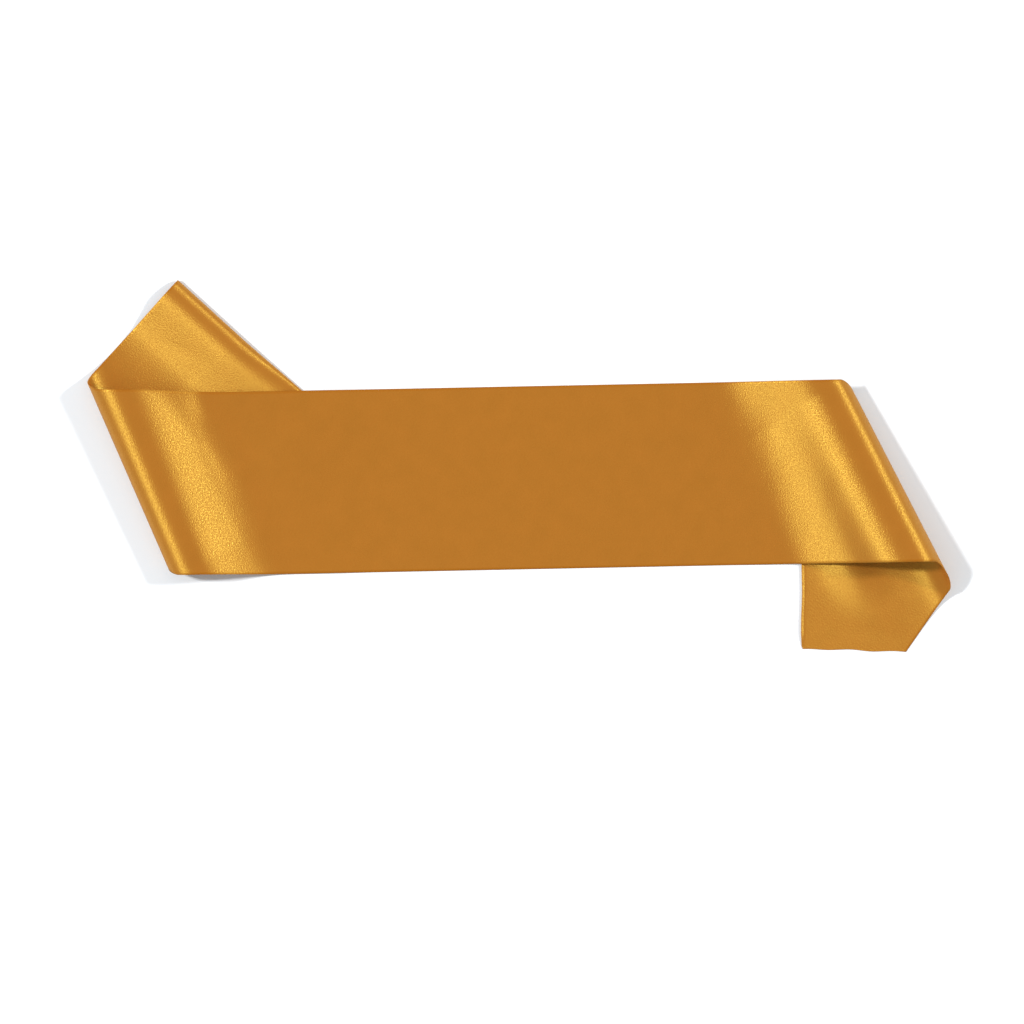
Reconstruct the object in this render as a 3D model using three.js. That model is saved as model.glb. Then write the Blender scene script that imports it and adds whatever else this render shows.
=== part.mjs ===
// A plain satin sash that lies on a table. Both ends of the flat band turn
// under in soft rolls, like a banner, and come out beside it as short tails.
// Millimetres, +Z up. The origin is on the table, under the middle of the box.

import * as THREE from 'three';
import { mergeVertices } from 'three/addons/utils/BufferGeometryUtils.js';

// Cloth
const SASH_WIDTH = 100;
const CLOTH_THICKNESS = 1.0;
const SEAM_GAP = 0.3;
const SEAM_GAP_ALONG = 0.34;
const LAYER_RISE = CLOTH_THICKNESS + SEAM_GAP;
const SATIN_GOLD = 0xbc762a;

// The flat band, seen from above: its middle point and its slight turn
const BAND_MIDDLE = new THREE.Vector2(0, -6.2);
const BAND_TURN = THREE.MathUtils.degToRad(1.15);

// Plan position of the centre of the finished sash's box
const BOX_CENTRE = new THREE.Vector2(0.72, 0.509);

// Each fold mirrors the strip in a line across it, and its roll stays inside
// that line by the inset. Top and bottom are the band's two selvedges.
const LEFT_FOLD = {
  side: -1,
  lineAngle: 114.4,
  linePoint: new THREE.Vector2(-220.4, -10.5),
  rollMiddle: new THREE.Vector2(-212.3, -6.8),
  insetAtTop: 10.4,
  insetAtBottom: 8.6,
  sizeAtTop: 1.1,
  sizeAtBottom: 0.92,
  straightAtTop: 0.1,
  straightAtBottom: 0.7,
};
const RIGHT_FOLD = {
  side: 1,
  lineAngle: 118.2,
  linePoint: new THREE.Vector2(247, -51.3),
  rollMiddle: new THREE.Vector2(208.5, -6.8),
  insetAtTop: 12.7,
  insetAtBottom: 15.0,
  sizeAtTop: 0.92,
  sizeAtBottom: 1.06,
  straightAtTop: 1,
  straightAtBottom: 1,
};
const ROLL_LENGTH = 114;
const LEFT_END = {
  outerMiddle: new THREE.Vector2(-147.8, 68.2),
  returnLength: 24,
  sizeAtTop: 1,
  sizeAtBottom: 1,
};

// The right end's two cuts, seen from above: the heel on the outer selvedge,
// the blunt point, and the second cut straight up from it
const CUT_HEEL = new THREE.Vector2(212.9, -101.1);
const CUT_POINT = new THREE.Vector2(155.2, -99.8);
const CUT_UP = new THREE.Vector2(0, 1);

// Section of each roll. run is the length of cloth from the outermost line,
// less than 0 on the band. The other columns are the cloth's heading at the
// top and bottom of the band, in degrees: 0 is level and outward, more than 0
// climbs, -90 is straight down and -180 is level and back under the band.
const LEFT_SECTION = [
  { run: -84, top: 0, bottom: 0 },
  { run: -78, top: 4, bottom: 2 },
  { run: -73, top: 14, bottom: 9 },
  { run: -69, top: 18, bottom: 15 },
  { run: -66, top: 20, bottom: 18 },
  { run: -61, top: 22, bottom: 22 },
  { run: -56, top: 24, bottom: 25 },
  { run: -49, top: 27, bottom: 28 },
  { run: -42, top: 28, bottom: 31 },
  { run: -36, top: 28, bottom: 31 },
  { run: -31.5, top: 26, bottom: 28 },
  { run: -29, top: 23, bottom: 26 },
  { run: -26.5, top: 20, bottom: 22 },
  { run: -24, top: 15, bottom: 13 },
  { run: -22, top: 8, bottom: 4 },
  { run: -20, top: 2, bottom: -1 },
  { run: -18, top: -5, bottom: -7 },
  { run: -15.5, top: -14, bottom: -14 },
  { run: -13, top: -21, bottom: -22 },
  { run: -10.5, top: -29, bottom: -30 },
  { run: -7, top: -44, bottom: -45 },
  { run: -3.5, top: -66, bottom: -67 },
  { run: 0, top: -90, bottom: -90 },
  { run: 2, top: -114, bottom: -116 },
  { run: 4, top: -137, bottom: -140 },
  { run: 7, top: -155, bottom: -160 },
  { run: 11, top: -166, bottom: -170 },
  { run: 16, top: -174, bottom: -176 },
  { run: 24, top: -179, bottom: -180 },
  { run: 32, top: -180, bottom: -180 },
];
const RIGHT_SECTION = [
  { run: -112, top: 0, bottom: 0 },
  { run: -102, top: 0, bottom: 0 },
  { run: -95, top: 3, bottom: 2 },
  { run: -91, top: 5, bottom: 6 },
  { run: -85, top: 8, bottom: 20 },
  { run: -80, top: 11, bottom: 27 },
  { run: -76, top: 14, bottom: 29 },
  { run: -71, top: 17, bottom: 30 },
  { run: -66, top: 20, bottom: 31 },
  { run: -60, top: 23, bottom: 34 },
  { run: -54, top: 25, bottom: 41 },
  { run: -49, top: 26, bottom: 50 },
  { run: -43, top: 26.5, bottom: 50 },
  { run: -38, top: 25, bottom: 41 },
  { run: -33, top: 21.5, bottom: 30 },
  { run: -28, top: 16.5, bottom: 21 },
  { run: -24, top: 9, bottom: 11 },
  { run: -21, top: 0, bottom: 2 },
  { run: -19, top: -5, bottom: -5 },
  { run: -17, top: -12, bottom: -14 },
  { run: -14.5, top: -22, bottom: -26 },
  { run: -12, top: -31, bottom: -36 },
  { run: -9, top: -47, bottom: -53 },
  { run: -4, top: -70, bottom: -74 },
  { run: 0, top: -90, bottom: -90 },
  { run: 3, top: -128, bottom: -105 },
  { run: 6, top: -156, bottom: -124 },
  { run: 9, top: -168, bottom: -141 },
  { run: 13, top: -174, bottom: -156 },
  { run: 18, top: -176, bottom: -168 },
  { run: 24, top: -179, bottom: -174 },
  { run: 31, top: -180, bottom: -178 },
  { run: 44, top: -180, bottom: -180 },
];
// The same for the end of the left tail: top is the free corner and bottom is
// where the band lies on it
const END_SECTION = [
  { run: -60, top: 0, bottom: 0 },
  { run: -52, top: 3, bottom: 2 },
  { run: -44, top: 8, bottom: 8 },
  { run: -38, top: 11, bottom: 9 },
  { run: -32, top: 12, bottom: 4 },
  { run: -26, top: 12, bottom: 0 },
  { run: -16, top: 12, bottom: 0 },
  { run: -12, top: 6, bottom: 0 },
  { run: -9.5, top: 0, bottom: 0 },
  { run: -5, top: -24, bottom: 0 },
  { run: -2.5, top: -50, bottom: -8 },
  { run: -1.3, top: -70, bottom: -20 },
  { run: 0, top: -90, bottom: -90 },
  { run: 1.3, top: -130, bottom: -160 },
  { run: 2.5, top: -160, bottom: -180 },
  { run: 4.5, top: -180, bottom: -180 },
];

// The band is lifted where it lies on a tail. Distances are along the band.
const LEFT_LIFT = { flatFrom: -78, fullAt: -102 };
const RIGHT_LIFT = { flatFrom: 112, fullAt: 138 };
const LIFT_FADE = { fullUpTo: -50, goneAt: -10 };
// The left tail's folded end lifts the band that lies on it. Distances are
// from the end's outer line inward, and from the tail's long selvedge.
const END_MOUND = {
  pressedHeight: 3.2,
  freeHeight: 7.4,
  fullUpTo: 14,
  goneInsideAt: 62,
  goneOutsideAt: -42,
  goneBeyondSelvedge: 45,
};
// The right tail swells up in a soft ridge where it comes out from the roll.
// Its place and sizes are on the flat strip.
const TAIL_SWELL = { along: 286, across: 4, turn: 117, halfLength: 20, halfWidth: 11, height: 2.6 };

const SECTION_STEP = 0.25;
const TURN_RUNS = { from: -16, to: 5, goneAt: 32 };
const SLIDE_RUNS = { from: -6, to: 12 };
const SECTIONS_PER_FOLD = 9;
const STRIPS_ACROSS = 10;

function smoothStep(from, to, value) {
  return THREE.MathUtils.smoothstep(value, Math.min(from, to), Math.max(from, to));
}

function unit(degrees) {
  const angle = THREE.MathUtils.degToRad(degrees);
  return new THREE.Vector2(Math.cos(angle), Math.sin(angle));
}

// Heading of the cloth at a run, between the table's rows and its two columns
function headingAt(rows, run, topShare, climb) {
  const last = rows.length - 1;
  if (run <= rows[0].run) return 0;
  if (run >= rows[last].run) return -Math.PI;
  const next = rows.findIndex((row) => row.run > run);
  const before = rows[next - 1];
  const after = rows[next];
  const share = (run - before.run) / (after.run - before.run);
  const top = THREE.MathUtils.lerp(before.top, after.top, share);
  const bottom = THREE.MathUtils.lerp(before.bottom, after.bottom, share);
  const degrees = THREE.MathUtils.lerp(bottom, top, topShare);
  return THREE.MathUtils.degToRad(degrees > 0 ? degrees * climb : degrees);
}

// Lays the cloth along its headings. out is the distance outward from the
// outermost line, and up the height over the start.
function traceSection(rows, topShare, climb) {
  const start = rows[0].run;
  const end = rows[rows.length - 1].run;
  const steps = Math.ceil((end - start) / SECTION_STEP);
  const step = (end - start) / steps;
  const points = [{ run: start, out: 0, up: 0 }];
  for (let i = 0; i < steps; i += 1) {
    const heading = headingAt(rows, start + (i + 0.5) * step, topShare, climb);
    const here = points[i];
    points.push({
      run: here.run + step,
      out: here.out + step * Math.cos(heading),
      up: here.up + step * Math.sin(heading),
    });
  }
  return points;
}

// The climb is scaled until the cloth comes back down to the table, and runs
// and distances are counted from the line in which the tail mirrors the band.
// Where an inset is given, the roll is eased in or out to keep to it.
function makeSection(rows, topShare, size, inset) {
  let low = 0.2;
  let high = 3;
  for (let i = 0; i < 40; i += 1) {
    const middle = (low + high) / 2;
    const points = traceSection(rows, topShare, middle);
    if (points[points.length - 1].up > 0) high = middle;
    else low = middle;
  }
  const points = traceSection(rows, topShare, (low + high) / 2);
  const outermost = Math.max(...points.map((point) => point.out));
  const first = points[0];
  const last = points[points.length - 1];
  const bandExcess = first.out - outermost - first.run;
  const tailExcess = last.out - outermost + last.run;
  const mirrorRun = (tailExcess - bandExcess) / 2;
  const mirrorOut = (tailExcess + bandExcess) / 2;
  const ease = inset === undefined ? 0 : size * mirrorOut - inset;
  return {
    outermost: -size * mirrorOut + ease,
    outerRun: -size * mirrorRun,
    points: points.map((point) => ({
      run: size * (point.run - mirrorRun),
      out: size * (point.out - outermost - mirrorOut) + ease * rollShare(point.run, first.run),
      up: size * point.up,
    })),
  };
}

// 1 in the turn of a roll, and less to 0 where the cloth lies flat
function rollShare(run, start) {
  return smoothStep(start, TURN_RUNS.from, run) * (1 - smoothStep(TURN_RUNS.to, TURN_RUNS.goneAt, run));
}

// Where cloth that has run past the mirror line by this much lies
function followSection(section, run) {
  const { points } = section;
  const first = points[0];
  const last = points[points.length - 1];
  if (run <= first.run) return { out: run, up: 0 };
  if (run >= last.run) return { out: -run, up: 0 };
  const place = ((run - first.run) / (last.run - first.run)) * (points.length - 1);
  const index = Math.min(Math.floor(place), points.length - 2);
  const share = place - index;
  return {
    out: THREE.MathUtils.lerp(points[index].out, points[index + 1].out, share),
    up: THREE.MathUtils.lerp(points[index].up, points[index + 1].up, share),
  };
}

function makeSections(rows, shape) {
  return Array.from({ length: SECTIONS_PER_FOLD }, (_, i) => {
    const topShare = i / (SECTIONS_PER_FOLD - 1);
    const size = THREE.MathUtils.lerp(shape.sizeAtBottom, shape.sizeAtTop, topShare);
    const hasInset = shape.insetAtTop !== undefined;
    const inset = THREE.MathUtils.lerp(shape.insetAtBottom, shape.insetAtTop, topShare);
    return makeSection(rows, topShare, size, hasInset ? inset : undefined);
  });
}

function blendSections(sections, topShare, run) {
  const place = THREE.MathUtils.clamp(topShare, 0, 1) * (sections.length - 1);
  const index = Math.min(Math.floor(place), sections.length - 2);
  const share = place - index;
  const below = followSection(sections[index], run);
  const above = followSection(sections[index + 1], run);
  return {
    out: THREE.MathUtils.lerp(below.out, above.out, share),
    up: THREE.MathUtils.lerp(below.up, above.up, share),
  };
}

const alongBand = unit(THREE.MathUtils.radToDeg(BAND_TURN));
const acrossBand = new THREE.Vector2(-alongBand.y, alongBand.x);

// A point of the flat strip: along from the middle, across to +/- 50
function flatPoint(along, across) {
  return BAND_MIDDLE.clone()
    .addScaledVector(alongBand, along)
    .addScaledVector(acrossBand, across);
}

function stripPlace(point) {
  const offset = point.clone().sub(BAND_MIDDLE);
  return { along: offset.dot(alongBand), across: offset.dot(acrossBand) };
}

// A fold with its line's direction, the outward direction, its sections, and
// the distance out to the line in which the tail mirrors the band
function makeFold(shape, rows) {
  const lineDirection = unit(shape.lineAngle);
  const outward = new THREE.Vector2(lineDirection.y, -lineDirection.x).multiplyScalar(shape.side);
  const sections = makeSections(rows, shape);
  return { lineDirection, outward, sections, mirrorDistance: outward.dot(shape.linePoint), shape };
}

const leftFold = makeFold(LEFT_FOLD, LEFT_SECTION);
const rightFold = makeFold(RIGHT_FOLD, RIGHT_SECTION);

function pastMirror(fold, point) {
  return fold.outward.dot(point) - fold.mirrorDistance;
}

function topShareOf(fold, point) {
  const offset = point.clone().sub(fold.shape.rollMiddle);
  return 0.5 + offset.dot(fold.lineDirection) / ROLL_LENGTH;
}

function mirrorInFold(fold, point) {
  return point.clone().addScaledVector(fold.outward, -2 * pastMirror(fold, point));
}

// The left tail's own end fold runs straight across the strip
const endSections = makeSections(END_SECTION, LEFT_END);
const endOuter = stripPlace(mirrorInFold(leftFold, LEFT_END.outerMiddle)).along;
const endMirror = endOuter + endSections[(SECTIONS_PER_FOLD - 1) / 2].outermost;

// How free the end fold is: 1 at the free corner, less where the band lies
function endTopShare(across) {
  return 0.05 + 0.95 * smoothStep(-52, 5, across);
}

function endMoundAt(point) {
  const tail = stripPlace(mirrorInFold(leftFold, point));
  const inside = tail.along - endOuter;
  const selvedge = -SASH_WIDTH / 2;
  const height = THREE.MathUtils.lerp(
    END_MOUND.pressedHeight,
    END_MOUND.freeHeight,
    endTopShare(Math.max(tail.across, selvedge)),
  );
  const inner = 1 - smoothStep(END_MOUND.fullUpTo, END_MOUND.goneInsideAt, inside);
  const outer = smoothStep(END_MOUND.goneOutsideAt, 0, inside);
  const beyond = selvedge - tail.across;
  const side = 1 - smoothStep(0, END_MOUND.goneBeyondSelvedge, beyond);
  return height * inner * outer * side;
}

// The band lies one layer up over the tails, and comes down to the table
// between them. The lift is gone before the cloth turns under.
function bandLift(along, point, leftPast, rightPast) {
  const leftShare = 1 - smoothStep(LEFT_LIFT.fullAt, LEFT_LIFT.flatFrom, along);
  const rightShare = smoothStep(RIGHT_LIFT.flatFrom, RIGHT_LIFT.fullAt, along);
  const past = Math.max(leftPast, rightPast);
  const fade = 1 - smoothStep(LIFT_FADE.fullUpTo, LIFT_FADE.goneAt, past);
  return fade * (LAYER_RISE * (leftShare + rightShare) + endMoundAt(point));
}

function tailSwell(along, across) {
  const offset = new THREE.Vector2(along - TAIL_SWELL.along, across - TAIL_SWELL.across);
  const way = unit(TAIL_SWELL.turn);
  const length = offset.dot(way) / TAIL_SWELL.halfLength;
  const width = offset.cross(way) / TAIL_SWELL.halfWidth;
  return TAIL_SWELL.height * Math.exp(-length * length - width * width);
}

function mirrorDirection(fold, direction) {
  return direction.clone().addScaledVector(fold.outward, -2 * fold.outward.dot(direction));
}

// A roll draws the cloth in along the tail on one side, so the tail keeps its
// selvedges straight up to it. The band does so as far as the fold's straight
// values say: where they are 0, its selvedge bends with the roll.
function slideAlong(fold, topShare, past, out) {
  const { shape } = fold;
  const slope = fold.lineDirection.dot(alongBand) / fold.outward.dot(alongBand);
  const tailShare = smoothStep(SLIDE_RUNS.from, SLIDE_RUNS.to, past);
  const share = THREE.MathUtils.clamp(topShare, 0, 1);
  const straight = THREE.MathUtils.lerp(shape.straightAtBottom, shape.straightAtTop, share);
  return slope * THREE.MathUtils.lerp(straight * (out - past), -out - past, tailShare);
}

// The middle of the cloth's thickness, folded and laid on the table
function foldedPoint(along, across) {
  const pastEnd = endMirror - along;
  const end = blendSections(endSections, endTopShare(across), pastEnd);
  const flat = flatPoint(endMirror - end.out, across);
  const leftPast = pastMirror(leftFold, flat);
  const rightPast = pastMirror(rightFold, flat);
  const leftShare = topShareOf(leftFold, flat);
  const rightShare = topShareOf(rightFold, flat);
  const left = blendSections(leftFold.sections, leftShare, leftPast);
  const right = blendSections(rightFold.sections, rightShare, rightPast);
  const plan = flat.clone()
    .addScaledVector(leftFold.outward, left.out - leftPast)
    .addScaledVector(leftFold.lineDirection, slideAlong(leftFold, leftShare, leftPast, left.out))
    .addScaledVector(rightFold.outward, right.out - rightPast)
    .addScaledVector(rightFold.lineDirection, slideAlong(rightFold, rightShare, rightPast, right.out))
    .sub(BOX_CENTRE);
  const lift = bandLift(along, flat, leftPast, rightPast) + tailSwell(along, across);
  return new THREE.Vector3(plan.x, plan.y, CLOTH_THICKNESS / 2 + end.up + left.up + right.up + lift);
}

function foldedNormal(along, across) {
  const reach = 0.05;
  const alongWay = foldedPoint(along + reach, across).sub(foldedPoint(along - reach, across));
  const acrossWay = foldedPoint(along, across + reach).sub(foldedPoint(along, across - reach));
  return alongWay.cross(acrossWay).normalize();
}

// A rib is a line of cloth from selvedge to selvedge: along as a function of
// across. This one lies parallel to a fold, this far past its mirror line.
function ribAtFold(fold, past) {
  const alongShare = fold.outward.dot(alongBand);
  const acrossShare = fold.outward.dot(acrossBand);
  const start = past + fold.mirrorDistance - fold.outward.dot(BAND_MIDDLE);
  return (across) => (start - across * acrossShare) / alongShare;
}

function ribAcross(along) {
  return () => along;
}

// The right end's outline, from its two cuts
function placeOnStrip(point) {
  return stripPlace(mirrorInFold(rightFold, point));
}

function cutRib() {
  const heel = placeOnStrip(CUT_HEEL);
  const point = placeOnStrip(CUT_POINT);
  const upWay = mirrorDirection(rightFold, CUT_UP);
  const cutSlope = upWay.dot(alongBand) / upWay.dot(acrossBand);
  const heelSlope = (point.along - heel.along) / (point.across - heel.across);
  return (across) => {
    const slope = across <= point.across ? heelSlope : cutSlope;
    return point.along + slope * (across - point.across);
  };
}

function ribsBetween(from, to, count) {
  return Array.from({ length: count + 1 }, (_, i) => {
    const share = i / count;
    return (across) => THREE.MathUtils.lerp(from(across), to(across), share);
  });
}

// Joins lists of ribs end to end, dropping each repeated first rib
function chain(...lists) {
  return lists.flatMap((list, i) => (i === 0 ? list : list.slice(1)));
}

function shiftRib(rib, distance) {
  return (across) => rib(across) + distance;
}

// The strip's lines along, of which the nearest is moved to a given corner
function acrossLines(corner) {
  const lines = steps(-SASH_WIDTH / 2, SASH_WIDTH / 2, SASH_WIDTH / STRIPS_ACROSS);
  const nearest = Math.round((corner / SASH_WIDTH + 0.5) * STRIPS_ACROSS);
  lines[nearest] = corner;
  return lines;
}

// A thin slab, divided along and across, is laid on the folded strip
function layStretch(name, ribs, corner = 0) {
  const lines = acrossLines(corner);
  const trimmed = ribs.slice();
  trimmed[0] = shiftRib(trimmed[0], SEAM_GAP_ALONG / 2);
  trimmed[trimmed.length - 1] = shiftRib(trimmed[trimmed.length - 1], -SEAM_GAP_ALONG / 2);
  const slab = new THREE.BoxGeometry(1, 1, 1, ribs.length - 1, STRIPS_ACROSS, 1);
  slab.deleteAttribute('normal');
  slab.deleteAttribute('uv');
  const cloth = mergeVertices(slab);
  const place = cloth.attributes.position;
  for (let i = 0; i < place.count; i += 1) {
    const rib = trimmed[Math.round((place.getX(i) + 0.5) * (ribs.length - 1))];
    const across = lines[Math.round((place.getY(i) + 0.5) * STRIPS_ACROSS)];
    const along = rib(across);
    const point = foldedPoint(along, across);
    point.addScaledVector(foldedNormal(along, across), place.getZ(i) * CLOTH_THICKNESS);
    place.setXYZ(i, point.x, point.y, point.z);
  }
  const satin = new THREE.MeshStandardMaterial({ color: SATIN_GOLD, roughness: 0.42, metalness: 0 });
  satin.side = THREE.FrontSide;
  const mesh = new THREE.Mesh(cloth, satin);
  mesh.name = name;
  return mesh;
}

function foldRibs(fold, pasts) {
  return pasts.map((past) => ribAtFold(fold, past));
}

function endRibs(pasts) {
  return pasts.map((past) => ribAcross(endMirror - past));
}

// Even steps from one value to another, both included
function steps(from, to, size) {
  const count = Math.max(1, Math.round(Math.abs(to - from) / size));
  return Array.from({ length: count + 1 }, (_, i) => THREE.MathUtils.lerp(from, to, i / count));
}

function outerPast(sections) {
  return sections[(SECTIONS_PER_FOLD - 1) / 2].outerRun;
}

// Where each stretch starts and ends, as cloth past the fold's mirror line
const leftOuter = outerPast(leftFold.sections);
const rightOuter = outerPast(rightFold.sections);
const endOuterPast = outerPast(endSections);
const TURN = 14;
const CLIMB_END = -84;
const LANDING = 20;
const CLIMB_STEP = 6;
const TURN_STEP = 2;
const END_TURN = 12;
const END_CLIMB = -44;

const leftReturn = endRibs([
  ...steps(endOuterPast + LEFT_END.returnLength, endOuterPast + 4, 5),
  ...steps(endOuterPast + 4, endOuterPast, 1).slice(1),
]);

const leftTail = chain(
  endRibs(steps(endOuterPast, endOuterPast - END_TURN, 1.2)),
  endRibs(steps(endOuterPast - END_TURN, END_CLIMB, 4)),
  ribsBetween(ribAcross(endMirror - END_CLIMB), ribAtFold(leftFold, LANDING), 6),
  foldRibs(leftFold, steps(LANDING, leftOuter + 5, 3)),
  foldRibs(leftFold, steps(leftOuter + 5, leftOuter, 1)),
);

const leftRoll = chain(
  foldRibs(leftFold, steps(leftOuter, leftOuter - TURN, TURN_STEP)),
  foldRibs(leftFold, steps(leftOuter - TURN, CLIMB_END, CLIMB_STEP)),
);

const band = ribsBetween(ribAtFold(leftFold, CLIMB_END), ribAtFold(rightFold, CLIMB_END), 28);

const rightRoll = chain(
  foldRibs(rightFold, steps(CLIMB_END, rightOuter - TURN, CLIMB_STEP)),
  foldRibs(rightFold, steps(rightOuter - TURN, rightOuter, TURN_STEP)),
);

const rightTail = chain(
  foldRibs(rightFold, steps(rightOuter, rightOuter + 5, 1)),
  foldRibs(rightFold, steps(rightOuter + 5, LANDING, 3)),
  ribsBetween(ribAtFold(rightFold, LANDING), cutRib(), 8),
);

const sash = new THREE.Group();
sash.add(layStretch('left_return', leftReturn));
sash.add(layStretch('left_tail', leftTail));
sash.add(layStretch('left_fold', leftRoll));
sash.add(layStretch('sash_band', band));
sash.add(layStretch('right_fold', rightRoll));
sash.add(layStretch('right_tail', rightTail, placeOnStrip(CUT_POINT).across));

export default sash;
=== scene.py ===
"""A plain satin ribbon sash, laid flat like a banner with both ends turned under."""

import math
from collections import namedtuple

import bmesh
import bpy
from bpy.props import FloatProperty, FloatVectorProperty, PointerProperty
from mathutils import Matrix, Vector


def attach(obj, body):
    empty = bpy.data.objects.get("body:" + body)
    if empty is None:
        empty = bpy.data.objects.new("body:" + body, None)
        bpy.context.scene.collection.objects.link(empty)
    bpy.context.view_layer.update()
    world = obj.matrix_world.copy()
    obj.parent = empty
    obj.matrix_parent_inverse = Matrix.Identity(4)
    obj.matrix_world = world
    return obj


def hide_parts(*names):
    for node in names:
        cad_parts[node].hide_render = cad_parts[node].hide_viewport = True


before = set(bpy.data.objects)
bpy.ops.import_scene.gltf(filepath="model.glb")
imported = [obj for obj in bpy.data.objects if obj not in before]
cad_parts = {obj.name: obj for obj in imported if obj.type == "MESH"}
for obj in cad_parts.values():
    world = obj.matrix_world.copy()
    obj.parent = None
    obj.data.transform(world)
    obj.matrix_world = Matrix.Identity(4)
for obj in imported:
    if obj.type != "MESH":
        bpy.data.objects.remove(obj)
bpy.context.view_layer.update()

bl_info = {
    "name": "Satin Sash",
    "version": (1, 0, 0),
    "blender": (4, 5, 0),
    "location": "View3D > Sidebar > Sash",
    "description": "A satin ribbon sash with a soft roll at each end and two short tails",
    "category": "Add Mesh",
}

CLOTH_NODES = ("left_return", "left_tail", "left_fold", "sash_band", "right_fold", "right_tail")
MM = 0.001

# The shape of the folded strip, in millimetres, as the solid ribbon has it.
# The band's middle point and slight turn, and the centre of the whole box.
BAND_MIDDLE = Vector((0.0, -6.2))
BAND_TURN = 1.15
BOX_CENTRE = Vector((0.72, 0.509))

# A fold mirrors the strip in a line across it, which runs through a point at an
# angle. Its roll stays inside that line by the inset, and middle is the middle
# of the roll's length. size scales its section. straight is how far the climbing
# cloth keeps to the band's own line, from 0 to 1. Top and bottom are the band's
# two selvedges.
FoldShape = namedtuple(
    "FoldShape",
    "side angle point middle inset_top inset_bottom size_top size_bottom straight_top straight_bottom",
)
LEFT_FOLD = FoldShape(
    side=-1,
    angle=114.4,
    point=Vector((-220.4, -10.5)),
    middle=Vector((-212.3, -6.8)),
    inset_top=10.4,
    inset_bottom=8.6,
    size_top=1.1,
    size_bottom=0.92,
    straight_top=0.1,
    straight_bottom=0.7,
)
RIGHT_FOLD = FoldShape(
    side=1,
    angle=118.2,
    point=Vector((247.0, -51.3)),
    middle=Vector((208.5, -6.8)),
    inset_top=12.7,
    inset_bottom=15.0,
    size_top=0.92,
    size_bottom=1.06,
    straight_top=1.0,
    straight_bottom=1.0,
)
ROLL_LENGTH = 114.0

# The left tail's folded end: its outer line's middle, the cloth turned under, and
# the scale of its section at the free corner and where the band presses on it
END_MIDDLE = Vector((-147.8, 68.2))
RETURN_LENGTH = 24.0
END_SIZE_FREE = 1.0
END_SIZE_PRESSED = 0.55
# Where across the end it goes from pressed to free, and how free it is at least
END_FREEDOM_FADE = (-52.0, 5.0)
END_LEAST_FREEDOM = 0.05

# The right end's two cuts, seen from above, and a shear's slight waver: the
# height, length and start of each wave
CUT_HEEL = Vector((212.9, -101.1))
CUT_POINT = Vector((155.2, -99.8))
CUT_UP = Vector((0.0, 1.0))
CUT_WAVER = ((0.35, 3.1, 0.0), (0.25, 7.3, 1.0))

# Section of each roll. run is the length of cloth from the outermost line,
# less than 0 on the band. top and bottom are the cloth's heading in degrees at
# the band's two selvedges: 0 is level and outward, -180 level and back.
SectionRow = namedtuple("SectionRow", "run top bottom")
LEFT_ROLL = (
    SectionRow(-84, 0, 0),
    SectionRow(-78, 4, 2),
    SectionRow(-73, 14, 9),
    SectionRow(-69, 18, 15),
    SectionRow(-66, 20, 18),
    SectionRow(-61, 22, 22),
    SectionRow(-56, 24, 25),
    SectionRow(-49, 27, 28),
    SectionRow(-42, 28, 31),
    SectionRow(-36, 28, 31),
    SectionRow(-31.5, 26, 28),
    SectionRow(-29, 23, 26),
    SectionRow(-26.5, 20, 22),
    SectionRow(-24, 15, 13),
    SectionRow(-22, 8, 4),
    SectionRow(-20, 2, -1),
    SectionRow(-18, -5, -7),
    SectionRow(-15.5, -14, -14),
    SectionRow(-13, -21, -22),
    SectionRow(-10.5, -29, -30),
    SectionRow(-7, -44, -45),
    SectionRow(-3.5, -66, -67),
    SectionRow(0, -90, -90),
    SectionRow(2, -114, -116),
    SectionRow(4, -137, -140),
    SectionRow(7, -155, -160),
    SectionRow(11, -166, -170),
    SectionRow(16, -174, -176),
    SectionRow(24, -179, -180),
    SectionRow(32, -180, -180),
)
RIGHT_ROLL = (
    SectionRow(-112, 0, 0),
    SectionRow(-102, 0, 0),
    SectionRow(-95, 3, 2),
    SectionRow(-91, 5, 6),
    SectionRow(-85, 8, 20),
    SectionRow(-80, 11, 27),
    SectionRow(-76, 14, 29),
    SectionRow(-71, 17, 30),
    SectionRow(-66, 20, 31),
    SectionRow(-60, 23, 34),
    SectionRow(-54, 25, 41),
    SectionRow(-49, 26, 50),
    SectionRow(-43, 26.5, 50),
    SectionRow(-38, 25, 41),
    SectionRow(-33, 21.5, 30),
    SectionRow(-28, 16.5, 21),
    SectionRow(-24, 9, 11),
    SectionRow(-21, 0, 2),
    SectionRow(-19, -5, -5),
    SectionRow(-17, -12, -14),
    SectionRow(-14.5, -22, -26),
    SectionRow(-12, -31, -36),
    SectionRow(-9, -47, -53),
    SectionRow(-4, -70, -74),
    SectionRow(0, -90, -90),
    SectionRow(3, -128, -105),
    SectionRow(6, -156, -124),
    SectionRow(9, -168, -141),
    SectionRow(13, -174, -156),
    SectionRow(18, -176, -168),
    SectionRow(24, -179, -174),
    SectionRow(31, -180, -178),
    SectionRow(44, -180, -180),
)
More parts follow.
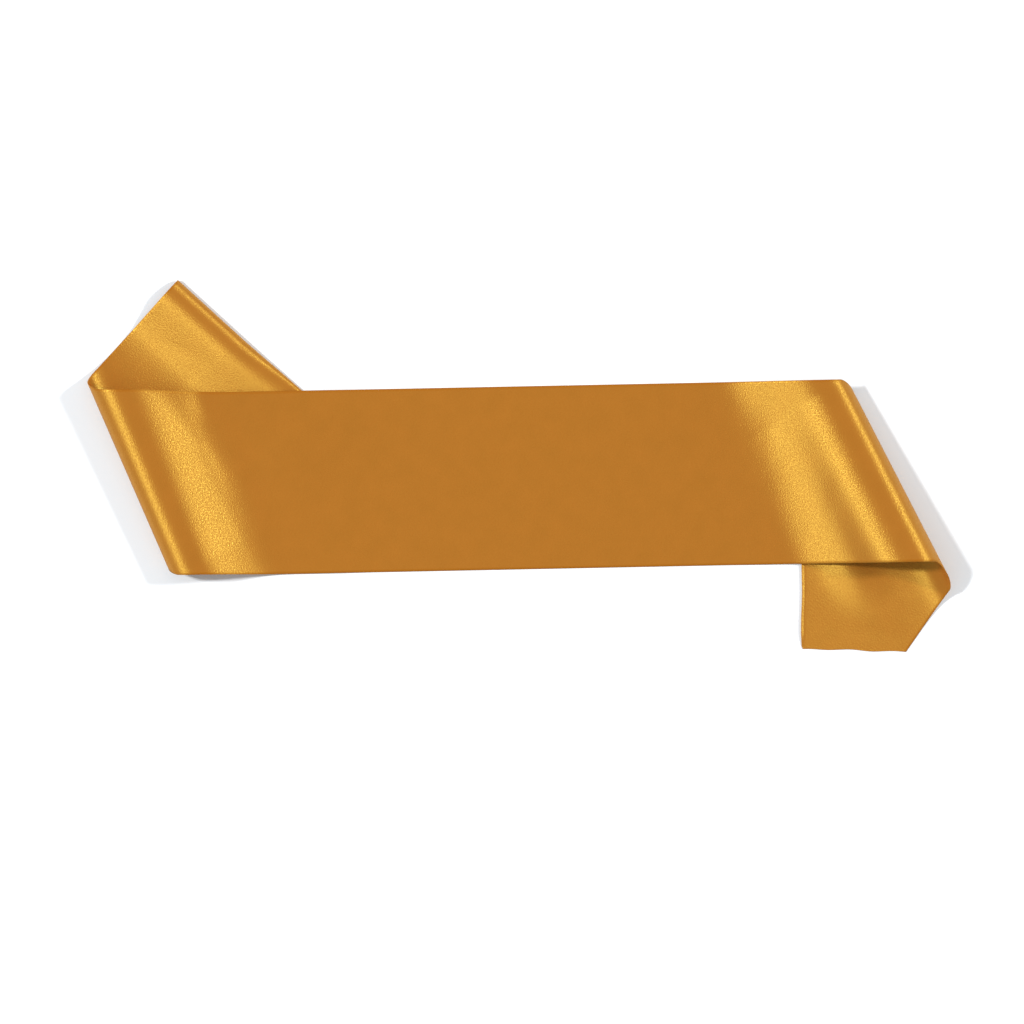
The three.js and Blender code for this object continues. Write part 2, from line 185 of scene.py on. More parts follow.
# The same for the tail's folded end: top is the free corner, and bottom is
# where the band lies on it
END_ROLL = (
    SectionRow(-60, 0, 0),
    SectionRow(-54, 0, 0),
    SectionRow(-48, 1.5, 1),
    SectionRow(-42, 3.5, 2),
    SectionRow(-38, 6.5, 3),
    SectionRow(-34, 8.5, 3),
    SectionRow(-24, 9.6, 3),
    SectionRow(-18, 9, 2),
    SectionRow(-15, 7, 0),
    SectionRow(-12.6, 3, 0),
    SectionRow(-10.6, 0, 0),
    SectionRow(-8, -8, -2),
    SectionRow(-5.6, -20, -5),
    SectionRow(-3.6, -31, -12),
    SectionRow(-1.6, -54, -36),
    SectionRow(0, -90, -90),
    SectionRow(0.7, -130, -145),
    SectionRow(1.5, -160, -170),
    SectionRow(2.5, -174, -179),
    SectionRow(4, -180, -180),
)

# The band is lifted where it lies on a tail. The first two are places along the
# band, and the lift fades out over the runs of the third, up to a roll's turn.
LEFT_LIFT = (-102.0, -78.0)
RIGHT_LIFT = (112.0, 138.0)
LIFT_FADE = (-50.0, -10.0)
LAYER_RISE = 0.6
# The tail's folded end lifts the band that lies on it: how high, and how far
# the lift reaches inside, outside and beside that end
END_MOUND_PRESSED = 3.0
END_MOUND_FREE = 6.6
END_MOUND_INSIDE = (14.0, 62.0)
END_MOUND_OUTSIDE = -42.0
END_MOUND_BESIDE = 45.0

# A section's steps and the softness of its headings, in millimetres of cloth
SECTION_STEP = 0.25
HEADING_SOFTNESS = 1.2
SECTIONS_PER_FOLD = 9
# The climb of a section is scaled between these until it ends on the table
CLIMB_RANGE = (0.2, 3.0)
CLIMB_HALVINGS = 40
# A roll's inset grows up to the first of these runs, counts in full as far as
# the second, and is gone at the third
TURN_RUNS = (-16.0, 5.0, 32.0)
# Runs over which the slide along the fold changes from the band's to the tail's
SLIDE_RUNS = (-6.0, 12.0)

# Lines across the cloth make its mesh. They are parallel to a fold between two
# runs, and closer together in its turn, which counts from the outermost line.
# Between folds they turn evenly. Spacings are in millimetres of cloth.
END_RIBS_TO = -56
LEFT_RIBS = (24, -88)
RIGHT_RIBS = (-118, 40)
END_TURN = (5, -12)
LEFT_TURN = (8, -14)
RIGHT_TURN = (-14, 10)
RETURN_SPACING = 1.6
END_TURN_SPACING = 0.4
TAIL_SPACING = 1.2
LEFT_TAIL_SPACING = 1.4
TURN_SPACING = 0.5
ROLL_SPACING = 1.0
BAND_SPACING = 1.8
CURL_SPACING = 0.4
ROWS_ACROSS = 72

# The upright cut's edge curls up by this height, over this width. Its reach is
# along the cloth, and it fades in over this much from the corner of the cuts.
CURL_HEIGHT = 0.9
CURL_WIDTH = 1.9
CURL_REACH = 5.0
CURL_FADE = 5.0


def smooth_step(start, end, value):
    """0 up to start and 1 from end, with a smooth rise between them."""
    share = min(max((value - start) / (end - start), 0.0), 1.0)
    return share * share * (3.0 - 2.0 * share)


def mix(a, b, share):
    return a + (b - a) * share


def unit(degrees):
    """The direction at this angle from +X."""
    angle = math.radians(degrees)
    return Vector((math.cos(angle), math.sin(angle)))


def table_heading(rows, run, top_share):
    """The heading in degrees between a table's rows and its two columns."""
    if run <= rows[0].run:
        return 0.0
    if run >= rows[-1].run:
        return -180.0
    after = next(i for i, row in enumerate(rows) if row.run > run)
    a, b = rows[after - 1], rows[after]
    share = (run - a.run) / (b.run - a.run)
    return mix(mix(a.bottom, b.bottom, share), mix(a.top, b.top, share), top_share)


def softened(values, reach):
    """Each value's mean with its neighbours, twice over, so no kink is left."""
    for _ in range(2):
        padded = [values[0]] * reach + values + [values[-1]] * reach
        total = sum(padded[: 2 * reach + 1])
        means = [total]
        for i in range(len(values) - 1):
            total += padded[i + 2 * reach + 1] - padded[i]
            means.append(total)
        values = [mean / (2 * reach + 1) for mean in means]
    return values


class Section:
    """The roll's section at one share of its length, from its table of headings.

    Runs and distances count from the line in which the tail mirrors the band.
    """

    def __init__(self, rows, top_share, size, inset=None):
        start, end = rows[0].run, rows[-1].run
        count = math.ceil((end - start) / SECTION_STEP)
        step = (end - start) / count
        headings = [table_heading(rows, start + (i + 0.5) * step, top_share) for i in range(count)]
        reach = round(HEADING_SOFTNESS / step)
        rises = softened([max(h, 0.0) for h in headings], reach)
        falls = softened([min(h, 0.0) for h in headings], reach)
        climb = self.level_climb(rises, falls)
        outs, ups = [0.0], [0.0]
        for rise, fall in zip(rises, falls):
            heading = math.radians(rise * climb + fall)
            outs.append(outs[-1] + step * math.cos(heading))
            ups.append(ups[-1] + step * math.sin(heading))
        outermost = max(outs)
        band_excess = -outermost - start
        tail_excess = outs[-1] - outermost + end
        mirror_run = (tail_excess - band_excess) / 2
        mirror_out = (tail_excess + band_excess) / 2
        ease = 0.0 if inset is None else size * mirror_out - inset
        runs = [start + i * step for i in range(count + 1)]
        self.first = size * (start - mirror_run)
        self.last = size * (end - mirror_run)
        self.step = size * step
        self.outer_run = -size * mirror_run
        self.outermost = -size * mirror_out + ease
        self.ups = [size * up for up in ups]
        self.outs = [
            size * (out - outermost - mirror_out) + ease * self.roll_share(run, start)
            for run, out in zip(runs, outs)
        ]

    @staticmethod
    def level_climb(rises, falls):
        """The scale of the climb that brings the cloth back to the table."""
        low, high = CLIMB_RANGE
        for _ in range(CLIMB_HALVINGS):
            climb = (low + high) / 2
            end = sum(math.sin(math.radians(r * climb + f)) for r, f in zip(rises, falls))
            if end > 0:
                high = climb
            else:
                low = climb
        return (low + high) / 2

    @staticmethod
    def roll_share(run, start):
        """1 in the turn of a roll, and less to 0 where the cloth lies flat."""
        return smooth_step(start, TURN_RUNS[0], run) * (1 - smooth_step(TURN_RUNS[1], TURN_RUNS[2], run))

    def follow(self, run):
        """How far out and up cloth lies that has run this far past the mirror line."""
        if run <= self.first:
            return run, 0.0
        if run >= self.last:
            return -run, 0.0
        place = (run - self.first) / self.step
        index = min(int(place), len(self.outs) - 2)
        share = place - index
        out = mix(self.outs[index], self.outs[index + 1], share)
        return out, mix(self.ups[index], self.ups[index + 1], share)


class Roll:
    """The sections of one fold, from its bottom end to its top end."""

    def __init__(self, rows, size_bottom, size_top, inset_bottom=None, inset_top=None):
        self.sections = []
        for i in range(SECTIONS_PER_FOLD):
            share = i / (SECTIONS_PER_FOLD - 1)
            inset = None if inset_top is None else mix(inset_bottom, inset_top, share)
            self.sections.append(Section(rows, share, mix(size_bottom, size_top, share), inset))
        self.middle = self.sections[SECTIONS_PER_FOLD // 2]

    def follow(self, top_share, run):
        """As a section's follow, between the sections on both sides of a share."""
        place = top_share * (SECTIONS_PER_FOLD - 1)
        index = min(int(place), SECTIONS_PER_FOLD - 2)
        below = self.sections[index].follow(run)
        above = self.sections[index + 1].follow(run)
        share = place - index
        return mix(below[0], above[0], share), mix(below[1], above[1], share)


ALONG_BAND = unit(BAND_TURN)
ACROSS_BAND = Vector((-ALONG_BAND.y, ALONG_BAND.x))


def strip_point(along, across):
    """A point of the flat strip, along from the band's middle."""
    return BAND_MIDDLE + ALONG_BAND * along + ACROSS_BAND * across


def strip_place(point):
    """How far along and across the flat strip a point lies."""
    offset = point - BAND_MIDDLE
    return offset.dot(ALONG_BAND), offset.dot(ACROSS_BAND)


class Fold:
    """A fold line across the strip, with the roll that the cloth makes at it."""

    def __init__(self, shape, rows):
        self.shape = shape
        self.line = unit(shape.angle)
        self.outward = Vector((self.line.y, -self.line.x)) * shape.side
        self.roll = Roll(rows, shape.size_bottom, shape.size_top, shape.inset_bottom, shape.inset_top)
        self.distance = self.outward.dot(shape.point)
        self.slope = self.line.dot(ALONG_BAND) / self.outward.dot(ALONG_BAND)
        self.outer_run = self.roll.middle.outer_run

    def past(self, point):
        """How far a point lies outward of the fold line."""
        return self.outward.dot(point) - self.distance

    def mirrored(self, point):
        return point - self.outward * (2 * self.past(point))

    def lay(self, point):
        """A flat point's move over the table, its height and how far past the line it is."""
        past = self.past(point)
        top_share = 0.5 + (point - self.shape.middle).dot(self.line) / ROLL_LENGTH
        top_share = min(max(top_share, 0.0), 1.0)
        out, up = self.roll.follow(top_share, past)
        tail_share = smooth_step(*SLIDE_RUNS, past)
        straight = mix(self.shape.straight_bottom, self.shape.straight_top, top_share)
        slide = self.slope * mix(straight * (out - past), -out - past, tail_share)
        return self.outward * (out - past) + self.line * slide, up, past

    def rib(self, past):
        """A line parallel to the fold, as its place along at each place across."""
        start = past + self.distance - self.outward.dot(BAND_MIDDLE)
        share_along = self.outward.dot(ALONG_BAND)
        share_across = self.outward.dot(ACROSS_BAND)
        return lambda across: (start - across * share_across) / share_along


class FoldedSash:
    """Where every point of the flat ribbon lies once the sash is folded."""

    def __init__(self, width):
        self.half = width / 2
        self.left = Fold(LEFT_FOLD, LEFT_ROLL)
        self.right = Fold(RIGHT_FOLD, RIGHT_ROLL)
        self.end = Roll(END_ROLL, END_SIZE_PRESSED, END_SIZE_FREE)
        self.end_outer = strip_place(self.left.mirrored(END_MIDDLE))[0]
        self.end_mirror = self.end_outer + self.end.middle.outermost

    @staticmethod
    def end_freedom(across):
        """1 at the end's free corner, and less where the band lies on it."""
        return mix(END_LEAST_FREEDOM, 1.0, smooth_step(*END_FREEDOM_FADE, across))

    def end_mound(self, point):
        """How far the tail's folded end lifts the band over it."""
        along, across = strip_place(self.left.mirrored(point))
        inside = along - self.end_outer
        freedom = self.end_freedom(max(across, -self.half))
        height = mix(END_MOUND_PRESSED, END_MOUND_FREE, freedom)
        inner = 1 - smooth_step(*END_MOUND_INSIDE, inside)
        outer = smooth_step(END_MOUND_OUTSIDE, 0, inside)
        beside = 1 - smooth_step(0, END_MOUND_BESIDE, -self.half - across)
        return height * inner * outer * beside

    def band_lift(self, along, point, past):
        """How far the tails under the band lift it."""
        left = 1 - smooth_step(*LEFT_LIFT, along)
        right = smooth_step(*RIGHT_LIFT, along)
        fade = 1 - smooth_step(*LIFT_FADE, past)
        if fade == 0:
            return 0.0
        return fade * (LAYER_RISE * (left + right) + self.end_mound(point))

    def point(self, along, across):
        """The middle of the cloth's thickness, over the table, in millimetres."""
        out, end_up = self.end.follow(self.end_freedom(across), self.end_mirror - along)
        flat = strip_point(self.end_mirror - out, across)
        left_move, left_up, left_past = self.left.lay(flat)
        right_move, right_up, right_past = self.right.lay(flat)
        plan = flat + left_move + right_move - BOX_CENTRE
        lift = self.band_lift(along, flat, max(left_past, right_past))
        return Vector((plan.x, plan.y, end_up + left_up + right_up + lift))

    def cut_rib(self):
        """The right end's outline, from its two cuts, with a shear's slight waver."""
        heel = strip_place(self.right.mirrored(CUT_HEEL))
        point = strip_place(self.right.mirrored(CUT_POINT))
        up = CUT_UP - self.right.outward * (2 * self.right.outward.dot(CUT_UP))
        cut_slope = up.dot(ALONG_BAND) / up.dot(ACROSS_BAND)
        heel_slope = (point[0] - heel[0]) / (point[1] - heel[1])

        def along_at(across):
            slope = heel_slope if across <= point[1] else cut_slope
            waver = sum(
                height * math.sin(across / length + start) for height, length, start in CUT_WAVER
            )
            return point[0] + slope * (across - point[1]) + waver

        return along_at

    def cut_corner(self):
        """How far across the two cuts meet."""
        return strip_place(self.right.mirrored(CUT_POINT))[1]

    def end_rib(self, past):
        """A line square across the tail, this far past the end's mirror line."""
        return lambda across: self.end_mirror - past

    def stations(self):
        """The lines across the cloth, from the turned-under end to the cut."""
        end_outer = self.end.middle.outer_run
        left, right = self.left, self.right
        end_turn = [end_outer + run for run in END_TURN]
        left_turn = [left.outer_run + run for run in LEFT_TURN]
        right_turn = [right.outer_run + run for run in RIGHT_TURN]
        cut = self.cut_rib()

        def curl_start(across):
            return cut(across) - CURL_REACH

        ribs = []
        add_ribs(ribs, self.end_rib, end_outer + RETURN_LENGTH, end_turn[0], RETURN_SPACING)
        add_ribs(ribs, self.end_rib, *end_turn, END_TURN_SPACING)
        add_ribs(ribs, self.end_rib, end_turn[1], END_RIBS_TO, TAIL_SPACING)
        between_ribs(ribs, self.end_rib(END_RIBS_TO), left.rib(LEFT_RIBS[0]), LEFT_TAIL_SPACING)
        add_ribs(ribs, left.rib, LEFT_RIBS[0], left_turn[0], TAIL_SPACING)
        add_ribs(ribs, left.rib, *left_turn, TURN_SPACING)
        add_ribs(ribs, left.rib, left_turn[1], LEFT_RIBS[1], ROLL_SPACING)
        between_ribs(ribs, left.rib(LEFT_RIBS[1]), right.rib(RIGHT_RIBS[0]), BAND_SPACING)
        add_ribs(ribs, right.rib, RIGHT_RIBS[0], right_turn[0], ROLL_SPACING)
        add_ribs(ribs, right.rib, *right_turn, TURN_SPACING)
        add_ribs(ribs, right.rib, right_turn[1], RIGHT_RIBS[1], ROLL_SPACING)
        between_ribs(ribs, right.rib(RIGHT_RIBS[1]), curl_start, TAIL_SPACING)
        between_ribs(ribs, curl_start, cut, CURL_SPACING)
        ribs.append(cut)
        return ribs


def add_ribs(ribs, make_rib, start, end, step):
    """Ribs from start up to just before end."""
    count = max(1, round(abs(end - start) / step))
    ribs.extend(make_rib(mix(start, end, i / count)) for i in range(count))


def between_ribs(ribs, start, end, step):
    """Ribs that turn evenly from one line to another, up to just before it."""
    count = max(1, round(abs(end(0.0) - start(0.0)) / step))
    for i in range(count):
        ribs.append(lambda across, share=i / count: mix(start(across), end(across), share))


def curl_height(to_cut, across, cut_corner):
    """How far the upright cut's edge curls up, from its distance to the cut."""
    beside = smooth_step(cut_corner, cut_corner + CURL_FADE, across)
    return CURL_HEIGHT * beside * math.exp(-((to_cut / CURL_WIDTH) ** 2))


# Small puckers of the cloth, on the flat ribbon: places, sizes and turn in
# millimetres and degrees. A height below 0 is a trough on the band. The tails
# lie the other way up, so there it is a ridge, as the right tail's swell is.
Crease = namedtuple("Crease", "along across turn half_length half_width height")
CREASES = (
    Crease(150, 14, 62, 22, 6.0, 0.06),
    Crease(168, -22, 66, 26, 6.0, -0.06),
    Crease(182, -12, 58, 20, 5.0, 0.05),
    Crease(160, 38, 70, 12, 4.0, -0.08),
    Crease(-171, 47, -67, 14, 9.0, -1.4),
    Crease(-172, 16, -66, 24, 3.6, 0.08),
    Crease(-158, -20, -62, 22, 4.4, -0.08),
    Crease(-60, -30, 12, 40, 9.0, 0.07),
    Crease(-20, 26, -8, 46, 10.0, -0.07),
    Crease(40, -12, 5, 50, 8.0, 0.06),
    Crease(84, 32, -14, 30, 8.0, 0.06),
    Crease(286, 4, 117, 20, 11.0, -2.6),
    Crease(286, -34, 30, 22, 5.0, 0.10),
    Crease(308, -30, 62, 20, 4.5, -0.08),
    Crease(-282, 8, -12, 26, 5.0, 0.10),
    Crease(-262, -18, 20, 22, 4.5, -0.10),
    Crease(-300, 24, 70, 14, 4.0, 0.08),
)


# A crease is left out beyond this many of its half lengths or half widths
CREASE_REACH = 2.5


def crease_height(along, across):
    """How far all creases together move the cloth, in millimetres."""
    total = 0.0
    for crease in CREASES:
        offset = Vector((along - crease.along, across - crease.across))
        way = unit(crease.turn)
        length = offset.dot(way) / crease.half_length
        width = (offset.y * way.x - offset.x * way.y) / crease.half_width
        if abs(length) < CREASE_REACH and abs(width) < CREASE_REACH:
            total += crease.height * math.exp(-length * length - width * width)
    return total


def linear_colour(hex_value):
    """An sRGB hex value as linear red, green, blue and alpha."""
    parts = [(hex_value >> shift & 255) / 255 for shift in (16, 8, 0)]
    linear = [p / 12.92 if p <= 0.04045 else ((p + 0.055) / 1.055) ** 2.4 for p in parts]
    return (*linear, 1.0)


def add_node(tree, kind, links=None, **settings):
    """A node with its settings, and its inputs linked or set."""
    node = tree.nodes.new(kind)
    for name, value in settings.items():
        setattr(node, name, value)
    for name, value in (links or {}).items():
        socket = node.inputs[name]
        if isinstance(value, bpy.types.NodeSocket):
            tree.links.new(value, socket)
        else:
            socket.default_value = value
    return node


def new_material(name):
    material = bpy.data.materials.new(name)
    material.use_nodes = True
    material.node_tree.nodes.clear()
    return material


# Size of the satin's denser spots, in metres, and the part of its range over
# which each noise takes effect
SLUB_SIZE = 0.012
SLUB_RANGE = (0.3, 0.7)
GLINT_RANGE = (0.35, 0.65)
# Where the selvedge has its full colour, as a share of its width
SELVEDGE_FULL = 0.7


def polyester_satin(settings):
    """Woven polyester satin: long warp floats run along the ribbon.

    They give the eye a clear sheen line where the cloth bends along its length,
    a fine glitter in it, and a plain, denser selvedge.
    """
    material = new_material("polyester_satin")
    tree = material.node_tree
    uv = add_node(tree, "ShaderNodeUVMap", uv_map="ribbon").outputs["UV"]
    float_size = add_node(
        tree,
        "ShaderNodeMapping",
        {"Vector": uv, "Scale": (1 / settings.float_width, 1 / settings.float_length, 1)},
    ).outputs["Vector"]
    floats = add_node(
        tree,
        "ShaderNodeTexNoise",
        {"Vector": float_size, "Scale": 1.0, "Detail": 2.0, "Roughness": 0.6},
    ).outputs["Fac"]
    slubs = add_node(
        tree,
        "ShaderNodeTexNoise",
        {"Vector": uv, "Scale": 1 / SLUB_SIZE, "Detail": 3.0, "Roughness": 0.55},
    ).outputs["Fac"]
    across = add_node(tree, "ShaderNodeSeparateXYZ", {"Vector": uv}).outputs["X"]
    reach = add_node(tree, "ShaderNodeMath", {0: across}, operation="ABSOLUTE").outputs[0]
    half = settings.width / 2
    selvedge = add_node(
        tree,
        "ShaderNodeMapRange",
        {
            "Value": reach,
            "From Min": half - settings.selvedge,
            "From Max": half - SELVEDGE_FULL * settings.selvedge,
        },
    ).outputs["Result"]
    tone = add_node(
        tree,
        "ShaderNodeMapRange",
        {"Value": slubs, "From Min": SLUB_RANGE[0], "From Max": SLUB_RANGE[1]},
    ).outputs["Result"]
    ground = add_node(
        tree,
        "ShaderNodeMix",
        {"Factor": tone, 6: settings.satin_deep, 7: settings.satin},
        data_type="RGBA",
    ).outputs[2]
    colour = add_node(
        tree,
        "ShaderNodeMix",
        {"Factor": selvedge, 6: ground, 7: settings.selvedge_colour},
        data_type="RGBA",
    ).outputs[2]
    bump = add_node(
        tree,
        "ShaderNodeBump",
        {"Strength": 1.0, "Distance": settings.float_relief, "Height": floats},
    ).outputs["Normal"]
    swing = settings.glitter / 2
    roughness = add_node(
        tree,
        "ShaderNodeMapRange",
        {
            "Value": floats,
            "From Min": GLINT_RANGE[0],
            "From Max": GLINT_RANGE[1],
            "To Min": settings.roughness - swing,
            "To Max": settings.roughness + swing,
        },
    ).outputs["Result"]
    tangent = add_node(tree, "ShaderNodeTangent", direction_type="UV_MAP", uv_map="ribbon").outputs[0]
    shader = add_node(
        tree,
        "ShaderNodeBsdfPrincipled",
        {
            "Base Color": colour,
            "Metallic": settings.lustre,
            "Roughness": roughness,
            "IOR": 1.95,
            "Anisotropic": 0.9,
            "Specular IOR Level": 1.0,
            "Specular Tint": settings.sheen_colour,
            "Normal": bump,
            "Tangent": tangent,
        },
    )
    add_node(tree, "ShaderNodeOutputMaterial", {"Surface": shader.outputs["BSDF"]})
    return material


def matte_white_sweep(settings):
    """A matte painted photo table: an even pale ground without any gloss."""
    material = new_material("matte_white_sweep")
    tree = material.node_tree
    shader = add_node(
        tree,
        "ShaderNodeBsdfPrincipled",
        {"Base Color": settings.floor_colour, "Roughness": 0.95, "Specular IOR Level": 0.1},
    )
    add_node(tree, "ShaderNodeOutputMaterial", {"Surface": shader.outputs["BSDF"]})
    return material


def object_from(bm, name):
    mesh = bpy.data.meshes.new(name)
    bm.to_mesh(mesh)
    bm.free()
    piece = bpy.data.objects.new(name, mesh)
    bpy.context.scene.collection.objects.link(piece)
    return piece


def flat_ribbon(ribs, rows_across):
    """A flat grid with a column for each rib, from -0.5 to 0.5 both ways."""
    bm = bmesh.new()
    bmesh.ops.create_grid(bm, x_segments=len(ribs) - 1, y_segments=rows_across, size=0.5)
    return bm


def lay_ribbon(bm, ribs, folded, settings):
    """Cuts the grid to the ribbon's outline, and lays it folded on the table."""
    width = settings.width / MM
    rise = settings.thickness / 2 / MM
    last = len(ribs) - 1
    places = {}
    for vert in bm.verts:
        across = vert.co.y * width
        places[vert] = ribs[round((vert.co.x + 0.5) * last)](across), across
    uv_layer = bm.loops.layers.uv.new("ribbon")
    for face in bm.faces:
        for loop in face.loops:
            along, across = places[loop.vert]
            loop[uv_layer].uv = (across * MM, along * MM)
    for vert, (along, across) in places.items():
        point = folded.point(along, across)
        point.z += rise
        vert.co = point
    bm.normal_update()
    cut, corner = ribs[-1], folded.cut_corner()
    for vert, (along, across) in places.items():
        vert.co += vert.normal * crease_height(along, across)
        vert.co.z = max(vert.co.z, rise) + curl_height(cut(across) - along, across, corner)
    bmesh.ops.scale(bm, vec=(MM, MM, MM), verts=bm.verts)


class SashSettings(bpy.types.PropertyGroup):
    """The ribbon's size, its weave and its colours"""

    width: FloatProperty(
        name="Width",
        description="Selvedge to selvedge",
        default=0.1,
        unit="LENGTH",
    )
    thickness: FloatProperty(
        name="Thickness",
        description="Thickness of the satin",
        default=0.00035,
        unit="LENGTH",
        precision=5,
    )
    selvedge: FloatProperty(
        name="Selvedge",
        description="Width of the denser edge",
        default=0.0016,
        unit="LENGTH",
        precision=4,
    )
    float_length: FloatProperty(
        name="Float length",
        description="Length of a glint along the warp, drawn coarser than the real floats",
        default=0.0009,
        unit="LENGTH",
        precision=5,
    )
    float_width: FloatProperty(
        name="Float width",
        description="Width of a glint across the warp, drawn coarser than the real floats",
        default=0.0007,
        unit="LENGTH",
        precision=5,
    )
    float_relief: FloatProperty(
        name="Float relief",
        description="Depth of the weave's relief",
        default=0.00013,
        unit="LENGTH",
        precision=6,
    )
    roughness: FloatProperty(
        name="Roughness",
        description="Spread of the sheen",
        default=0.46,
        min=0,
        max=1,
    )
    glitter: FloatProperty(
        name="Glitter",
        description="How much the spread of the sheen varies from glint to glint",
        default=0.26,
        min=0,
        max=0.8,
    )
    lustre: FloatProperty(
        name="Lustre",
        description="Share of coloured sheen",
        default=0.12,
        min=0,
        max=1,
    )
    satin: FloatVectorProperty(
        name="Satin",
        description="Colour of the satin",
        default=linear_colour(0xAE6522),
        subtype="COLOR",
        size=4,
    )
    satin_deep: FloatVectorProperty(
        name="Deep satin",
        description="Colour of its denser spots",
        default=linear_colour(0xA96220),
        subtype="COLOR",
        size=4,
    )
    selvedge_colour: FloatVectorProperty(
        name="Selvedge colour",
        description="Colour of the denser edge",
        default=linear_colour(0xAA5D16),
        subtype="COLOR",
        size=4,
    )
    sheen_colour: FloatVectorProperty(
        name="Sheen colour",
        description="Tint of the sheen",
        default=linear_colour(0xEEDC61),
        subtype="COLOR",
        size=4,
    )


class StudioSettings(bpy.types.PropertyGroup):
    """The table, the camera and the light"""

    floor_colour: FloatVectorProperty(
        name="Floor",
        description="Colour of the table",
        default=linear_colour(0xEFF3F7),
        subtype="COLOR",
        size=4,
    )
    camera_height: FloatProperty(
        name="Camera height",
        description="Straight above the table",
        default=4.0,
        unit="LENGTH",
    )
    view_width: FloatProperty(
        name="View width",
        description="Width of the table that the picture shows",
        default=0.5596,
        unit="LENGTH",
    )
    ambient: FloatProperty(
        name="Ambient",
        description="Strength of the even room light",
        default=0.5,
        min=0,
    )
    left_power: FloatProperty(
        name="Left lamp",
        description="Power of the left lamp",
        default=435,
        unit="POWER",
    )
    right_power: FloatProperty(
        name="Right lamp",
        description="Power of the right lamp",
        default=352,
        unit="POWER",
    )


class SASH_OT_ribbon(bpy.types.Operator):
    """Lay the satin ribbon in its folds"""

    bl_idname = "sash.ribbon"
    bl_label = "Satin Ribbon"

    def execute(self, context):
        settings = context.scene.sash_settings
        folded = FoldedSash(settings.width / MM)
        ribs = folded.stations()
        bm = flat_ribbon(ribs, ROWS_ACROSS)
        lay_ribbon(bm, ribs, folded, settings)
        ribbon = object_from(bm, "satin_ribbon")
        ribbon.data.materials.append(polyester_satin(settings))
        for polygon in ribbon.data.polygons:
            polygon.use_smooth = True
        shell = ribbon.modifiers.new("Cloth thickness", "SOLIDIFY")
        shell.thickness = settings.thickness
        shell.offset = 0
        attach(ribbon, "root")
        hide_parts(*CLOTH_NODES)
        length = ribbon_length(ribs)
        area = ribbon_area(ribs, settings.width)
        return {"FINISHED"}


# Places across at which the ribbon's length is measured, and strips for its area
LENGTH_PLACES = (-50, -25, 0, 25, 50)
AREA_STRIPS = 100


def ribbon_length(ribs):
    """The cut ribbon's longest flat length at those places, in millimetres."""
    return max(ribs[-1](across) for across in LENGTH_PLACES) - ribs[0](0.0)


def ribbon_area(ribs, width):
    """The flat area of the cut ribbon, in square metres."""
    step = width / MM / AREA_STRIPS
    total = 0.0
    for i in range(AREA_STRIPS):
        across = -width / MM / 2 + (i + 0.5) * step
        total += (ribs[-1](across) - ribs[0](across)) * step
    return total * MM * MM


class SASH_OT_stage(bpy.types.Operator):
    """Set up the table, the two lamps, the room light and the camera"""

    bl_idname = "sash.stage"
    bl_label = "Photo Table"

    def execute(self, context):
        settings = context.scene.sash_studio
        make_table(settings)
        make_room_light(settings)
        make_lamp("left_lamp", settings.left_power, *LEFT_LAMP)
        make_lamp("right_lamp", settings.right_power, *RIGHT_LAMP)
        make_camera(settings)
        context.scene.view_settings.view_transform = "Standard"
        return {"FINISHED"}


# The table reaches this far each way, in metres, in this many cells a side
TABLE_REACH = 3.0
TABLE_CELLS = 8


def make_table(settings):
    bm = bmesh.new()
    bmesh.ops.create_grid(bm, x_segments=TABLE_CELLS, y_segments=TABLE_CELLS, size=TABLE_REACH)
    table = object_from(bm, "photo_table")
    table.data.materials.append(matte_white_sweep(settings))


def make_room_light(settings):
    world = bpy.data.worlds.new("studio_room")
    world.use_nodes = True
    sky = world.node_tree.nodes["Background"]
    sky.inputs["Color"].default_value = (1, 1, 1, 1)
    sky.inputs["Strength"].default_value = settings.ambient
    bpy.context.scene.world = world


LAMP_DISTANCE = 8.0
LAMP_SIZE = 0.8
# Each lamp's azimuth from +X and its elevation, in degrees
LEFT_LAMP = (167, 47)
RIGHT_LAMP = (15, 37)


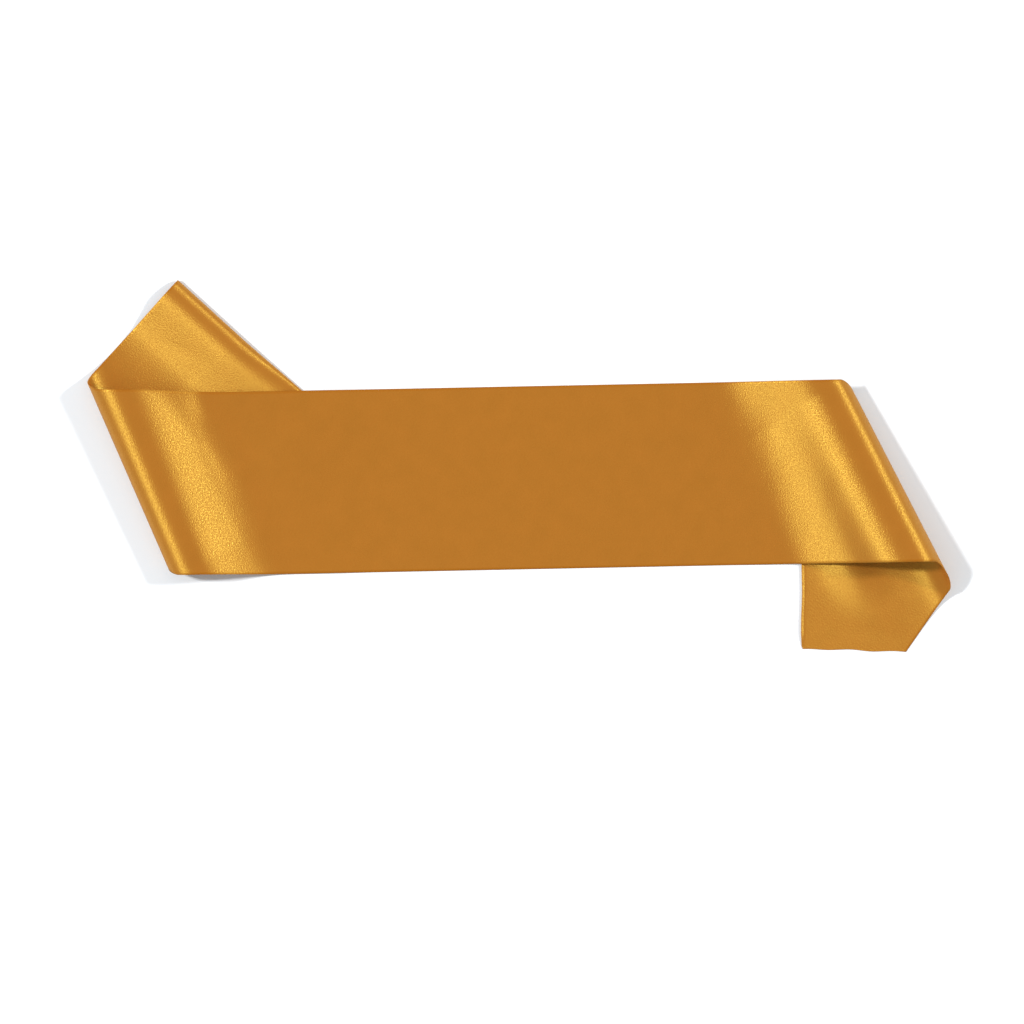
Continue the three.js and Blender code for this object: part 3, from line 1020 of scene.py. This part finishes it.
def make_lamp(name, power, azimuth, elevation):
    """A small soft lamp, turned towards the sash."""
    light = bpy.data.lights.new(name, "AREA")
    light.shape = "DISK"
    light.size = LAMP_SIZE
    light.energy = power
    lamp = bpy.data.objects.new(name, light)
    flat = unit(azimuth) * math.cos(math.radians(elevation))
    way = Vector((flat.x, flat.y, math.sin(math.radians(elevation))))
    lamp.location = way * LAMP_DISTANCE
    lamp.rotation_euler = way.to_track_quat("Z", "Y").to_euler()
    bpy.context.scene.collection.objects.link(lamp)


# The camera's place over the table, and its sensor's width in millimetres
VIEW_CENTRE = Vector((-3.78, -25.35)) * MM
SENSOR_WIDTH = 36


def make_camera(settings):
    data = bpy.data.cameras.new("copy_stand_camera")
    data.sensor_width = SENSOR_WIDTH
    data.lens = SENSOR_WIDTH * settings.camera_height / settings.view_width
    camera = bpy.data.objects.new("copy_stand_camera", data)
    camera.location = (VIEW_CENTRE.x, VIEW_CENTRE.y, settings.camera_height)
    bpy.context.scene.collection.objects.link(camera)
    bpy.context.scene.camera = camera


class SASH_PT_panel(bpy.types.Panel):
    bl_label = "Satin Sash"
    bl_idname = "SASH_PT_panel"
    bl_space_type = "VIEW_3D"
    bl_region_type = "UI"
    bl_category = "Sash"

    def draw(self, context):
        layout = self.layout
        for operator in (SASH_OT_ribbon, SASH_OT_stage):
            layout.operator(operator.bl_idname)
        for group in (context.scene.sash_settings, context.scene.sash_studio):
            for name in group.bl_rna.properties.keys():
                if name not in {"rna_type", "name"}:
                    layout.prop(group, name)


CLASSES = (SashSettings, StudioSettings, SASH_OT_ribbon, SASH_OT_stage, SASH_PT_panel)


def register():
    for cls in CLASSES:
        bpy.utils.register_class(cls)
    bpy.types.Scene.sash_settings = PointerProperty(type=SashSettings)
    bpy.types.Scene.sash_studio = PointerProperty(type=StudioSettings)


def unregister():
    del bpy.types.Scene.sash_studio
    del bpy.types.Scene.sash_settings
    for cls in reversed(CLASSES):
        bpy.utils.unregister_class(cls)


def main():
    register()
    bpy.ops.sash.ribbon()
    bpy.ops.sash.stage()
    bpy.context.view_layer.update()


if __name__ == "__main__":
    main()
